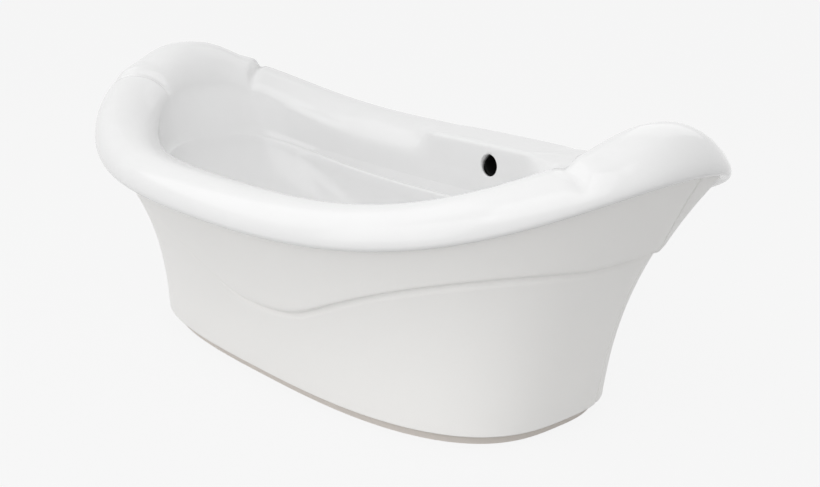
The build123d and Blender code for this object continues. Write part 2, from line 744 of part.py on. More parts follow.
def foot_pad(centre):
    """Round pad that stands on the floor."""
    body = rod(FOOT_PAD_RADIUS, (*centre, 0), (*centre, FOOT_PAD_HEIGHT))
    edge = body.edges().filter_by(GeomType.CIRCLE).sort_by(Axis.Z)[-1]
    body = body.fillet(FOOT_PAD_HEIGHT / 3, [edge])
    socket_bottom = FOOT_PAD_HEIGHT / 2
    return (body - rod(STUD_RADIUS, (*centre, socket_bottom), (*centre, FOOT_PAD_HEIGHT))).solid()


def foot_stud(centre):
    """Threaded stud that carries the pad."""
    return rod(STUD_RADIUS, (*centre, FOOT_PAD_HEIGHT / 2), (*centre, BOARD_BOTTOM + STUD_OVER_BAR))


def foot_nuts():
    """Nuts that hold each stud above and below its bar."""
    nuts = []
    for centre in foot_points():
        for bottom in (APRON_BASE_Z - NUT_HEIGHT, BOARD_BOTTOM):
            nut = hexagon(NUT_RADIUS, NUT_HEIGHT, bottom, centre)
            bore = rod(STUD_RADIUS + RUNNING_GAP, (*centre, bottom), (*centre, bottom + NUT_HEIGHT))
            nuts.append((nut - bore).solid())
    return nuts


def seam_bolts():
    """Bolts through the seam flanges at both ends."""
    bolts = []
    for point in seam_bolt_points():
        shank = seam_rod(point, BOLT_RADIUS, -APRON_WALL, APRON_WALL + BOLT_TIP)
        head = seam_rod(point, BOLT_HEAD_RADIUS, -APRON_WALL - BOLT_HEAD_HEIGHT, -APRON_WALL)
        bolt = (shank + head).solid()
        bolts += [bolt.rotate(Axis.Z, turn) for turn in SEAM_ROTATIONS]
    return bolts


def seam_nuts():
    """Nuts on the seam bolts."""
    nuts = []
    for point in seam_bolt_points():
        ring = seam_rod(point, BOLT_HEAD_RADIUS, APRON_WALL, APRON_WALL + BOLT_HEAD_HEIGHT)
        bore = seam_rod(point, BOLT_RADIUS + RUNNING_GAP, APRON_WALL, APRON_WALL + BOLT_HEAD_HEIGHT)
        nut = (ring - bore).solid()
        nuts += [nut.rotate(Axis.Z, turn) for turn in SEAM_ROTATIONS]
    return nuts


def plinth_screws():
    """Screws from the apron's bottom flange into the plinth."""
    screws = []
    for point in plinth_screw_points():
        length = point.Z - PLINTH_BOTTOM - PLINTH_PILOT_FLOOR - PILOT_GAP
        one = screw((point.X, point.Y, point.Z), length)
        screws += [one.rotate(Axis.Z, turn) for turn in SEAM_ROTATIONS]
    return screws


# Heights of the waste set, from the floor of the basin
FLANGE_BOTTOM = FLOOR_TOP + TOP_GASKET
FLANGE_TOP = FLANGE_BOTTOM + WASTE_FLANGE_THICKNESS
BOWL_TOP = FLOOR_UNDER - BOTTOM_GASKET
SPIDER_TOP = FLANGE_BOTTOM
WASTE = (OVERFLOW_X, 0)
TAIL_BORE = WASTE_TAIL_RADIUS - WASTE_TAIL_WALL


def waste_flange():
    """Waste fitting seen in the bath: a flange, its tail and the spider that guides the plug."""
    body = tube(WASTE_FLANGE_RADIUS, TAIL_BORE, FLANGE_BOTTOM, FLANGE_TOP, WASTE)
    body += tube(WASTE_TAIL_RADIUS, TAIL_BORE, WASTE_TAIL_END, FLANGE_BOTTOM, WASTE)
    spider_bottom = SPIDER_TOP - SPIDER_HEIGHT
    body += rod(SPIDER_BOSS, (*WASTE, spider_bottom), (*WASTE, SPIDER_TOP))
    reach = TAIL_BORE + WASTE_TAIL_WALL / 2
    half = SPIDER_ARM / 2
    body += block((WASTE[0] - reach, -half, spider_bottom), (WASTE[0] + reach, half, SPIDER_TOP))
    body += block((WASTE[0] - half, -reach, spider_bottom), (WASTE[0] + half, reach, SPIDER_TOP))
    body -= rod(PLUG_STEM_RADIUS + RUNNING_GAP, (*WASTE, spider_bottom), (*WASTE, SPIDER_TOP))
    return body.solid()


def plug_seal():
    """Rubber ring under the plug's cap."""
    bottom = FLANGE_TOP + SEAT_GAP
    return tube(PLUG_RADIUS - SEAL_INSET, SEAL_INNER, bottom, bottom + SEAL_HEIGHT, WASTE)


def waste_plug():
    """Pop-up plug: a low domed cap on a stem."""
    bottom = FLANGE_TOP + SEAT_GAP + SEAL_HEIGHT
    top = bottom + PLUG_THICKNESS
    cap = rod(PLUG_RADIUS, (*WASTE, bottom), (*WASTE, top))
    edge = cap.edges().filter_by(GeomType.CIRCLE).sort_by(Axis.Z)[-1]
    cap = cap.fillet(PLUG_DOME, [edge])
    stem = rod(PLUG_STEM_RADIUS, (*WASTE, bottom - PLUG_STEM_LENGTH), (*WASTE, bottom))
    hub = rod(SEAL_INNER, (*WASTE, FLANGE_TOP + SEAT_GAP), (*WASTE, bottom))
    return (cap + hub + stem).solid()


def trap_bowl():
    """Low trap under the floor, with the overflow's inlet and the outlet."""
    body = rod(BOWL_RADIUS, (*WASTE, BOWL_BOTTOM), (*WASTE, BOWL_TOP))
    outlet_end = (WASTE[0] - BOWL_RADIUS - OUTLET_LENGTH, 0, OUTLET_Z)
    inlet_end = (WASTE[0], BOWL_RADIUS + INLET_LENGTH, INLET_Z)
    body += rod(OUTLET_RADIUS, (*WASTE, OUTLET_Z), outlet_end)
    body += rod(HOSE_BORE - RUNNING_GAP, (*WASTE, INLET_Z), inlet_end)
    body -= rod(BOWL_RADIUS - BOWL_WALL, (*WASTE, BOWL_BOTTOM + BOWL_WALL),
                (*WASTE, BOWL_TOP - BOWL_NECK))
    body -= rod(WASTE_TAIL_RADIUS + RUNNING_GAP, (*WASTE, BOWL_TOP - BOWL_NECK), (*WASTE, BOWL_TOP))
    body -= rod(OUTLET_RADIUS - OUTLET_WALL, (*WASTE, OUTLET_Z), outlet_end)
    body -= rod(HOSE_BORE - OUTLET_WALL, (*WASTE, INLET_Z), inlet_end)
    return body.solid()


def trap_dip_tube():
    """Tube inside the waste's tail that dips into the trap's water."""
    radius = TAIL_BORE - RUNNING_GAP
    return tube(radius, radius - DIP_TUBE_WALL, DIP_TUBE_BOTTOM, DIP_TUBE_TOP, WASTE)


def waste_gasket(bottom, top, radius):
    """Flat rubber ring round the waste's tail."""
    return tube(radius, WASTE_HOLE_RADIUS, bottom, top, WASTE)


def across(radius, start, end):
    """Rod along the overflow's axis between two distances from the bath's middle."""
    return rod(radius, (OVERFLOW_X, start, OVERFLOW_Z), (OVERFLOW_X, end, OVERFLOW_Z))


def overflow_gasket():
    """Rubber ring between the basin's back and the elbow."""
    return (across(OVERFLOW_PAD_RADIUS, OVERFLOW_PAD_BACK, ELBOW_FRONT)
            - across(OVERFLOW_RADIUS, OVERFLOW_PAD_BACK, ELBOW_FRONT))


def overflow_elbow():
    """Elbow that takes the overflow's water down to the hose."""
    body = across(OVERFLOW_PAD_RADIUS, ELBOW_FRONT, ELBOW_FRONT + ELBOW_FLANGE)
    body += across(ELBOW_RADIUS, ELBOW_FRONT, ELBOW_BACK)
    top = (OVERFLOW_X, OVERFLOW_SPIGOT_Y, OVERFLOW_Z)
    bottom = (OVERFLOW_X, OVERFLOW_SPIGOT_Y, SPIGOT_BOTTOM)
    body += rod(HOSE_BORE - RUNNING_GAP, bottom, top)
    body -= across(OVERFLOW_RADIUS, ELBOW_FRONT, ELBOW_BACK - ELBOW_WALL)
    body -= rod(HOSE_BORE - OUTLET_WALL, bottom, top)
    return body.solid()


def hollow_middle(height):
    """Half width midway between the basin's back and the apron, on the overflow's side."""
    for low, high in zip(BACK_RINGS, BACK_RINGS[1:]):
        if low.mid_height <= height <= high.mid_height:
            share = (height - low.mid_height) / (high.mid_height - low.mid_height)
            basin_back = low.half_width + share * (high.half_width - low.half_width)
            apron_share = (height - APRON_BASE_Z) / (LIP_MID - APRON_BASE_Z)
            return (basin_back + apron_radius(pi / 2, apron_share) - APRON_WALL) / 2
    raise ValueError("the hose leaves the hollow between the basin and the apron")


def hose_route():
    """Corners of the hose, from the elbow down behind the basin to the trap."""
    upper, *lower = HOSE_HEIGHTS
    route = [(OVERFLOW_X, OVERFLOW_SPIGOT_Y, OVERFLOW_Z - ELBOW_RADIUS - HOSE_END_GAP),
             (OVERFLOW_X, OVERFLOW_SPIGOT_Y, upper)]
    route += [(OVERFLOW_X, hollow_middle(height), height) for height in lower]
    route += [(OVERFLOW_X, BASE_HALF_WIDTH - HOSE_LOW_SETBACK, INLET_Z),
              (OVERFLOW_X, BOWL_RADIUS + HOSE_END_GAP, INLET_Z)]
    return route


def overflow_hose():
    """Hose from the elbow to the trap, laid in straight runs and round bends."""
    path = FilletPolyline(*hose_route(), radius=HOSE_BEND)
    start = Plane(path @ 0, z_dir=path % 0)
    outer = sweep(start * Circle(HOSE_RADIUS), path)
    bore = sweep(start * Circle(HOSE_BORE), path)
    return (outer - bore).solid()


def hose_clips():
    """Clips that hold the hose on its spigots."""
    inner = HOSE_RADIUS + RUNNING_GAP
    outer = inner + CLIP_WALL
    top = Vector(*hose_route()[0]) - Vector(0, 0, CLIP_SETBACK)
    end = Vector(*hose_route()[-1]) + Vector(0, CLIP_SETBACK, 0)
    clips = []
    for start, along in ((top, Vector(0, 0, -CLIP_WIDTH)), (end, Vector(0, CLIP_WIDTH, 0))):
        clips.append((rod(outer, start, start + along) - rod(inner, start, start + along)).solid())
    return clips


def write(name, shapes):
    """Write one node, which may be a group of separate solids."""
    shapes = shapes if isinstance(shapes, list) else [shapes]
    solids = [solid for shape in shapes for solid in shape.solids()]
    export_step(solids[0] if len(solids) == 1 else Compound(solids), f"parts/{name}.step")


def main():
    """Build every piece and write it to its own file."""
    os.makedirs("parts", exist_ok=True)
    near_half = front_apron()
    write("basin", basin())
    write("front_apron", near_half)
    write("rear_apron", near_half.rotate(Axis.Z, 180))
    write("rim_bead", rim_bead())
    write("plinth_ring", plinth_ring())
    write("floor_board", floor_board())
    write("left_cross_bar", cross_bar(-BAR_X))
    write("right_cross_bar", cross_bar(BAR_X))
    write("bar_end_caps", bar_end_caps())
    write("bar_brackets", bar_brackets())
    write("bracket_screws", bracket_screws())
    write("board_screws", board_screws())
    write("seam_bolts", seam_bolts())
    write("seam_nuts", seam_nuts())
    write("plinth_screws", plinth_screws())
    write("foot_nuts", foot_nuts())
    for number, centre in enumerate(foot_points(), 1):
        write(f"foot_pad_{number}", foot_pad(centre))
        write(f"foot_stud_{number}", foot_stud(centre))
    write("waste_flange", waste_flange())
    write("waste_plug", waste_plug())
    write("plug_seal", plug_seal())
    write("waste_top_gasket", waste_gasket(FLOOR_TOP, FLANGE_BOTTOM,
                                           WASTE_FLANGE_RADIUS - TOP_GASKET_INSET))
    write("waste_bottom_gasket", waste_gasket(BOWL_TOP, FLOOR_UNDER,
                                              BOWL_RADIUS - BOTTOM_GASKET_INSET))
    write("trap_bowl", trap_bowl())
    write("trap_dip_tube", trap_dip_tube())
    write("overflow_gasket", overflow_gasket())
    write("overflow_elbow", overflow_elbow())
    write("overflow_hose", overflow_hose())
    write("hose_clips", hose_clips())


main()
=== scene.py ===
import json
from collections import namedtuple
from functools import partial
from math import atan2, cos, degrees, exp, pi, radians, sin

import bmesh
import bpy
from mathutils import Matrix, Vector


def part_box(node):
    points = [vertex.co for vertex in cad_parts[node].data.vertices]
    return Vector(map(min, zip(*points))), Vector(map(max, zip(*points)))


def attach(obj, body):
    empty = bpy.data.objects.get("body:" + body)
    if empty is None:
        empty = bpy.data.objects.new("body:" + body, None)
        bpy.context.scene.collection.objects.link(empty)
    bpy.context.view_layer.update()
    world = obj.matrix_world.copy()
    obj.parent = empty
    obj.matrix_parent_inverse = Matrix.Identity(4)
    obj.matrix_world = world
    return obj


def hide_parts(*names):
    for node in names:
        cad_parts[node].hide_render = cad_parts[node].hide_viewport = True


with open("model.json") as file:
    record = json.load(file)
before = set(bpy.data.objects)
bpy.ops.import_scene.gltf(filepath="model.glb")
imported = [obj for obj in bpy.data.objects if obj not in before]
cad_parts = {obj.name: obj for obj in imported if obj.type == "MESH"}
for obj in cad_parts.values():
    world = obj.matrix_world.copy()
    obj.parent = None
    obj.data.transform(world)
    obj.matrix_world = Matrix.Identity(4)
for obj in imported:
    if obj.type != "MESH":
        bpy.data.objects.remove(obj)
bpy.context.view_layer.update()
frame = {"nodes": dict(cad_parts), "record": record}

bl_info = {
    "name": "Freestanding Bathtub",
    "version": (1, 0, 0),
    "blender": (4, 5, 0),
    "location": "View3D > Sidebar > Bathtub",
    "description": "Builds the basin, the waved apron and the finishes of a freestanding bathtub",
    "category": "Add Mesh",
}

MM = 0.001
BASIN_LOW, BASIN_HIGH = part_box("basin")

# Basin, in millimetres; MID is at the middle of a long side, END at the two ends
RIM_SQUARENESS = 2.16
CROWN_SQUARENESS = 2.42
CREASE_SQUARENESS = 2.8
FLOOR_SQUARENESS = 2.5
RISE_POWER = 3.6
LIP_MID, LIP_END = 371, 524
LIP_TUCK = 8
LIP_BULGE_RISE = 10
BULGE_MID, BULGE_END = LIP_MID + LIP_BULGE_RISE, LIP_END + LIP_BULGE_RISE
LIP_RETURN, LIP_RETURN_RISE = 24, 3
CROWN_MID, CROWN_END = 437, 572
CROWN_INSET_SIDE, CROWN_INSET_END = 59, 82
ROLL_SIDE, ROLL_END = 100, 78
WALL_TOP_MID, WALL_TOP_END = 355, 500
CREASE_MID, CREASE_END = 285, 375
CREASE_HALF_WIDTH, CREASE_HALF_LENGTH = 288, 600
LEDGE_WIDTH, LEDGE_RISE = 14, 6
LEDGE_PROFILE = ((0.06, 0.4), (0.2, 0.75), (0.42, 0.95), (0.7, 1.0), (1.0, 1.1))
FLOOR_TOP = 108
FLOOR_UNDER = BASIN_LOW.z / MM
FLOOR_HALF_LENGTH, FLOOR_HALF_WIDTH = 330, 150
BOWL_SIDE_POWER, BOWL_END_POWER = 2.2, 1.4
SHELL_WALL = 8

# Headrests and the grooves beside them; a share is along the roll or the dome
HEADREST_START = 0.965
HEADREST_POWER = 1.5
SHOULDER_RISE = 9
Groove = namedtuple("Groove", "x y turn_inside turn_outside width_share depth_share")
LEFT_GROOVE = Groove(670, 186, 50, 32, 1, 1)
RIGHT_GROOVE = Groove(676, 177, 55, 16, 1.5, 0.8)
GROOVE_BEND = 30
ROLL_GROOVE_FADE = 0.5
DOME_GROOVE_START, DOME_GROOVE_FADE = 0.35, 0.5

# Tap deck and openings; a corner is given by its first and last share of the roll or the dome
DECK_X, DECK_HALF_LENGTH, DECK_BLEND = 25, 140, 100
DECK_TOP, DECK_INNER, DECK_OUTER = 433, 305, 456
DECK_INNER_RADIUS, DECK_INNER_CORNER = 12, (0.5, 0.75)
DECK_OUTER_RADIUS, DECK_OUTER_CORNER, DECK_OUTER_TURN = 26, (0.3, 0.6), pi / 3
OVERFLOW_X, OVERFLOW_Z, OVERFLOW_RADIUS = 60, 382, 26
OVERFLOW_CUT = 120
WASTE_X, WASTE_RADIUS = 60, 25

# Apron; directions are in degrees from the right-hand end, the near side negative
APRON_WALL = 7
APRON_BASE_Z = 24
APRON_BASE_SIZE = (567.5, 298.5)
APRON_TOP_INSET = 33
APRON_SQUARENESS = (2.86, 2.285)
APRON_FLARE_SHARE, APRON_FLARE_POWER = 0.714, 2.385
APRON_FLANGE = 45
APRON_TUCK = 22
APRON_HALVES = (("front_apron_skin", "front_apron", 0), ("rear_apron_skin", "rear_apron", pi))
SEAM_ANGLE = 11
SEAM_DIP, SEAM_DIP_WIDTH = 3.5, 0.4
SEAM_LEAN, SEAM_LEAN_START, SEAM_LEAN_REACH = 7, 0.7, 30
WAVE_MEAN, WAVE_HEIGHT = 262.5, 83
WAVE_PERIOD, WAVE_TROUGH = 150, -82
WAVE_STEEPENING, WAVE_STEEPENING_TURN = 14, pi / 3
WAVE_FADES = ((-140, -95), (-145, -165))
WAVE_UNDERCUT, WAVE_UNDERCUT_HEIGHT = 5, 12

# How finely the curves are drawn
AROUND = 640
END_CROWDING = 0.35
FLOOR_RINGS, UNDER_RINGS = (0.1, 0.3, 0.6, 0.85), (0.6, 0.2, 0.0)
BOWL_STEPS, WALL_STEPS, ROLL_STEPS, DOME_STEPS, LIP_STEPS, LIP_RETURN_STEPS = 14, 5, 18, 16, 5, 3
OVERFLOW_SEGMENTS = 96
APRON_AROUND = 420
SEAM_CROWDING = 0.8
FOOT_RINGS = (0.005, 0.02)
LOWER_RINGS, STEP_RINGS, UPPER_RINGS, INNER_RINGS = 22, 9, 22, 12

# A ring round the basin: its half length and the height there, its half width and the height there,
# then how square it is and how much of the headrest, the deck and the grooves it takes
Station = namedtuple("Station", "length end width mid squareness headrest deck groove",
                     defaults=(0, None, None))


class BathSizes(bpy.types.PropertyGroup):
    """Sizes of the visible pieces."""

    length: bpy.props.FloatProperty(
        name="Length", description="Length over the rim", subtype="DISTANCE", unit="LENGTH",
        default=BASIN_HIGH.x - BASIN_LOW.x)
    width: bpy.props.FloatProperty(
        name="Width", description="Width over the rim", subtype="DISTANCE", unit="LENGTH",
        default=BASIN_HIGH.y - BASIN_LOW.y)
    headrest_rise: bpy.props.FloatProperty(
        name="Headrest rise", description="How far each headrest stands over the rim",
        subtype="DISTANCE", unit="LENGTH", default=0.023)
    groove_depth: bpy.props.FloatProperty(
        name="Groove depth", description="Depth of the grooves beside the headrests",
        subtype="DISTANCE", unit="LENGTH", default=0.012)
    groove_width: bpy.props.FloatProperty(
        name="Groove width", description="Half width of the grooves beside the headrests",
        subtype="DISTANCE", unit="LENGTH", default=0.009)
    wave_relief: bpy.props.FloatProperty(
        name="Wave relief", description="How far the apron stands proud above its wave",
        subtype="DISTANCE", unit="LENGTH", default=0.011)
    wave_step: bpy.props.FloatProperty(
        name="Wave step", description="Height over which the wave steps out",
        subtype="DISTANCE", unit="LENGTH", default=0.011)


class BathColours(bpy.types.PropertyGroup):
    """Colours of the finishes, as sRGB hex values."""

    gelcoat: bpy.props.StringProperty(
        name="Basin", description="Colour of the glossy moulding", default="E9E9E9")
    apron: bpy.props.StringProperty(
        name="Apron", description="Colour of the satin apron", default="FAF9F7")
    plinth: bpy.props.StringProperty(
        name="Plinth", description="Colour of the plinth ring", default="E4DDD6")
    floor: bpy.props.StringProperty(
        name="Floor", description="Colour of the ground under the bath", default="FAFAFA")
    floor_paint: bpy.props.StringProperty(
        name="Floor paint", description="Colour of the light that the ground sends back up", default="C4C4C4")


def smooth_step(value):
    """Ease from 0 to 1."""
    value = min(max(value, 0.0), 1.0)
    return value * value * (3 - 2 * value)


def between(start, end, share):
    """Value at a share of the way from start to end."""
    return start + (end - start) * share


def spread(start, end, count):
    """Evenly spread values from start to end."""
    return [start + (end - start) * i / (count - 1) for i in range(count)]


def oval_radius(phi, half_length, half_width, squareness):
    """Distance from the axis to a superellipse, in the direction phi."""
    along = abs(cos(phi)) / half_length
    across = abs(sin(phi)) / half_width
    return (along**squareness + across**squareness) ** (-1 / squareness)


def rise(mid_height, end_height, ratio):
    """Height at a share of the half length: low at the middle, high at the ends."""
    return between(mid_height, end_height, ratio**RISE_POWER)


# Basin

def groove_distance(groove, x, y):
    """Distance of a place on the rim from a groove, positive on the headrest's side."""
    off_x = abs(x) - groove.x
    off_y = abs(y) - groove.y
    bend = smooth_step((off_x + GROOVE_BEND) / (2 * GROOVE_BEND))
    turn = radians(between(groove.turn_inside, groove.turn_outside, bend))
    return off_x * sin(turn) - off_y * cos(turn)


def groove_shape(x, y, sizes):
    """Depth of the groove at a place on the rim, and how far the headrest's shoulder stands up there."""
    groove = LEFT_GROOVE if x < 0 else RIGHT_GROOVE
    half_width = sizes.groove_width / MM * groove.width_share
    distance = groove_distance(groove, x, y) / half_width
    dip = sizes.groove_depth / MM * groove.depth_share * exp(-distance * distance)
    return dip, SHOULDER_RISE * smooth_step((distance + 1) / 2)


def station_point(station, sizes, phi):
    """Point of a basin station in the direction phi."""
    radius = oval_radius(phi, station.length, station.width, station.squareness)
    x = radius * cos(phi)
    y = radius * sin(phi)
    ratio = abs(x) / station.length
    z = rise(station.mid, station.end, ratio)
    over = max(0.0, (ratio - HEADREST_START) / (1 - HEADREST_START))
    z += station.headrest * sizes.headrest_rise / MM * over**HEADREST_POWER
    if station.deck and y > 0:
        deck_width, deck_height = station.deck
        share = 1 - smooth_step((abs(x - DECK_X) - DECK_HALF_LENGTH) / DECK_BLEND)
        y += share * y * (deck_width / station.width - 1)
        z += share * (deck_height - z)
    if station.groove:
        inward, down = station.groove
        dip, shoulder = groove_shape(x, y, sizes)
        x -= dip * inward * cos(phi)
        y -= dip * inward * sin(phi)
        z += (shoulder - dip) * down
    return Vector((x, y, z)) * MM


def deck_roll(share, crown_width):
    """Half width and height of the deck between the wall's top and the crown."""
    corner_start, corner_end = DECK_INNER_CORNER
    low = DECK_TOP - DECK_INNER_RADIUS
    if share <= corner_start:
        return DECK_INNER, WALL_TOP_MID + (low - WALL_TOP_MID) * share / corner_start
    if share <= corner_end:
        angle = (share - corner_start) / (corner_end - corner_start) * pi / 2
        return DECK_INNER + DECK_INNER_RADIUS * (1 - cos(angle)), low + DECK_INNER_RADIUS * sin(angle)
    flat = (share - corner_end) / (1 - corner_end)
    return between(DECK_INNER + DECK_INNER_RADIUS, crown_width, flat), DECK_TOP


def deck_dome(share, crown_width):
    """Half width and height of the deck between the crown and the lip."""
    corner_start, corner_end = DECK_OUTER_CORNER
    end = DECK_OUTER - DECK_OUTER_RADIUS
    if share <= corner_start:
        return crown_width + (end - crown_width) * share / corner_start, DECK_TOP
    if share <= corner_end:
        angle = (share - corner_start) / (corner_end - corner_start) * DECK_OUTER_TURN
        return end + DECK_OUTER_RADIUS * sin(angle), DECK_TOP - DECK_OUTER_RADIUS * (1 - cos(angle))
    return None


def bowl_stations():
    """Stations of the bowl, from the edge of the flat floor to the crease."""
    stations = [Station(FLOOR_HALF_LENGTH, FLOOR_TOP, FLOOR_HALF_WIDTH, FLOOR_TOP, FLOOR_SQUARENESS)]
    for angle in spread(0, pi / 2, BOWL_STEPS + 1)[1:]:
        out_end = sin(angle) ** (2 / BOWL_END_POWER)
        up_end = 1 - abs(cos(angle)) ** (2 / BOWL_END_POWER)
        out_side = sin(angle) ** (2 / BOWL_SIDE_POWER)
        up_side = 1 - abs(cos(angle)) ** (2 / BOWL_SIDE_POWER)
        stations.append(Station(between(FLOOR_HALF_LENGTH, CREASE_HALF_LENGTH, out_end),
                                between(FLOOR_TOP, CREASE_END, up_end),
                                between(FLOOR_HALF_WIDTH, CREASE_HALF_WIDTH, out_side),
                                between(FLOOR_TOP, CREASE_MID, up_side),
                                between(FLOOR_SQUARENESS, CREASE_SQUARENESS, out_side)))
    return stations


def ledge_stations(wall_length):
    """Stations of the narrow rounded ledge at the crease."""
    stations = []
    for out, up in LEDGE_PROFILE:
        height = LEDGE_RISE * up
        stations.append(Station(between(CREASE_HALF_LENGTH, wall_length, height / (WALL_TOP_END - CREASE_END)),
                                CREASE_END + height,
                                CREASE_HALF_WIDTH + LEDGE_WIDTH * out,
                                CREASE_MID + height,
                                CREASE_SQUARENESS))
    return stations


def wall_stations(foot, wall_length, wall_width):
    """Stations of the wall, between its foot and its top."""
    return [Station(between(foot.length, wall_length, share),
                    between(foot.end, WALL_TOP_END, share),
                    between(foot.width, wall_width, share),
                    between(foot.mid, WALL_TOP_MID, share),
                    between(CREASE_SQUARENESS, CROWN_SQUARENESS, share))
            for share in spread(0, 1, WALL_STEPS + 1)[1:-1]]


def roll_stations(crown_length, crown_width):
    """Stations of the roll, from the wall's top to the crown of the rim."""
    stations = []
    for share in spread(0, 1, ROLL_STEPS + 1):
        angle = share * pi / 2
        fade = smooth_step(share / ROLL_GROOVE_FADE)
        stations.append(Station(crown_length - ROLL_END * cos(angle),
                                between(WALL_TOP_END, CROWN_END, sin(angle)),
                                crown_width - ROLL_SIDE * cos(angle),
                                between(WALL_TOP_MID, CROWN_MID, sin(angle)),
                                CROWN_SQUARENESS,
                                headrest=sin(angle),
                                deck=deck_roll(share, crown_width),
                                groove=(-fade * cos(angle), fade * sin(angle))))
    return stations


def dome_stations(crown_length, crown_width):
    """Stations of the rim's outer dome, from its crown to its widest line."""
    stations = []
    for share in spread(0, 1, DOME_STEPS + 1)[1:]:
        angle = share * pi / 2
        fade = 1 - smooth_step((share - DOME_GROOVE_START) / DOME_GROOVE_FADE)
        stations.append(Station(crown_length + CROWN_INSET_END * sin(angle),
                                between(BULGE_END, CROWN_END, cos(angle)),
                                crown_width + CROWN_INSET_SIDE * sin(angle),
                                between(BULGE_MID, CROWN_MID, cos(angle)),
                                between(CROWN_SQUARENESS, RIM_SQUARENESS, sin(angle)),
                                headrest=cos(angle),
                                deck=deck_dome(share, crown_width),
                                groove=(fade * sin(angle), fade * cos(angle))))
    return stations


def lip_stations(half_length, half_width):
    """Stations of the lip, which turns down and then back in under the rim."""
    stations = []
    for angle in spread(0, pi / 2, LIP_STEPS + 1)[1:]:
        tuck = LIP_TUCK * (1 - cos(angle))
        drop = LIP_BULGE_RISE * sin(angle)
        stations.append(Station(half_length - tuck, BULGE_END - drop, half_width - tuck, BULGE_MID - drop,
                                RIM_SQUARENESS))
    for share in spread(0, 1, LIP_RETURN_STEPS + 1)[1:]:
        tuck = LIP_TUCK + LIP_RETURN * share
        lift = LIP_RETURN_RISE * share
        stations.append(Station(half_length - tuck, LIP_END + lift, half_width - tuck, LIP_MID + lift,
                                RIM_SQUARENESS))
    return stations


def front_stations(sizes, ledge):
    """Stations over the water side of the basin, from the floor to the end of the lip."""
    half_length = sizes.length / MM / 2
    half_width = sizes.width / MM / 2
    crown_length = half_length - CROWN_INSET_END
    crown_width = half_width - CROWN_INSET_SIDE
    wall_length = crown_length - ROLL_END
    wall_width = crown_width - ROLL_SIDE
    stations = bowl_stations()
    if ledge:
        stations += ledge_stations(wall_length)
    stations += wall_stations(stations[-1], wall_length, wall_width)
    stations += roll_stations(crown_length, crown_width)
    stations += dome_stations(crown_length, crown_width)
    return stations + lip_stations(half_length, half_width)


def offset_profile(points, distance):
    """Move a profile to its back by a distance, square to its own direction."""
    moved = []
    for i, (out, up) in enumerate(points):
        out_before, up_before = points[max(i - 1, 0)]
        out_after, up_after = points[min(i + 1, len(points) - 1)]
        angle = atan2(up_after - up_before, out_after - out_before)
        moved.append((out + distance * sin(angle), up - distance * cos(angle)))
    return moved


def back_stations(stations):
    """Stations over the hidden side of the basin, one wall behind the front ones."""
    ends = offset_profile([(s.length, s.end) for s in stations], SHELL_WALL)
    sides = offset_profile([(s.width, s.mid) for s in stations], SHELL_WALL)
    backs = []
    for station, (length, end), (width, mid) in zip(stations, ends, sides):
        backs.append(station._replace(length=length, end=end, width=width, mid=mid, deck=None))
    backs[0] = stations[0]._replace(end=FLOOR_UNDER, mid=FLOOR_UNDER)
    return backs


def waste_point(radius, height, phi):
    """Point on a circle round the waste hole."""
    return Vector((WASTE_X + radius * cos(phi), radius * sin(phi), height)) * MM


def floor_point(station, sizes, share, height, phi):
    """Point on the floor between the waste hole and the edge of the floor."""
    inner = waste_point(WASTE_RADIUS, height, phi)
    return inner.lerp(station_point(station, sizes, phi), share)


def crowded(turn):
    """Direction for a share of a full turn, closer together at the two ends of the bath."""
    angle = 2 * pi * turn
    return angle - END_CROWDING * sin(2 * angle)


def grow_loops(bm, edges, order, rings, direction):
    """Extrude a loop of edges from ring to ring, and return the last loop."""
    for ring in rings:
        grown = bmesh.ops.extrude_edge_only(bm, edges=edges)["geom"]
        verts = {g for g in grown if isinstance(g, bmesh.types.BMVert)}
        edges = [g for g in grown if isinstance(g, bmesh.types.BMEdge) and set(g.verts) <= verts]
        for vert in verts:
            vert.co = ring(direction(vert[order]))
    return edges


def finish_mesh(bm, name):
    """Turn a bmesh into a smooth-shaded object at the origin."""
    bmesh.ops.recalc_face_normals(bm, faces=bm.faces)
    mesh = bpy.data.meshes.new(name)
    bm.to_mesh(mesh)
    bm.free()
    mesh.shade_smooth()
    obj = bpy.data.objects.new(name, mesh)
    bpy.context.scene.collection.objects.link(obj)
    return obj


def cut_overflow(basin):
    """Cut the overflow hole through the wall under the deck."""
    bm = bmesh.new()
    turn = Matrix.Rotation(pi / 2, 4, "X")
    place = Matrix.Translation((OVERFLOW_X * MM, DECK_INNER * MM, OVERFLOW_Z * MM))
    bmesh.ops.create_cone(bm, cap_ends=True, segments=OVERFLOW_SEGMENTS, radius1=OVERFLOW_RADIUS * MM,
                          radius2=OVERFLOW_RADIUS * MM, depth=OVERFLOW_CUT * MM, matrix=place @ turn)
    cutter = finish_mesh(bm, "overflow_cutter")
    modifier = basin.modifiers.new("overflow", "BOOLEAN")
    modifier.operation = "DIFFERENCE"
    modifier.solver = "EXACT"
    modifier.object = cutter
    bpy.context.view_layer.update()
    shaped = bpy.data.meshes.new_from_object(basin.evaluated_get(bpy.context.evaluated_depsgraph_get()))
    basin.modifiers.clear()
    basin.data = shaped
    bpy.data.objects.remove(cutter)


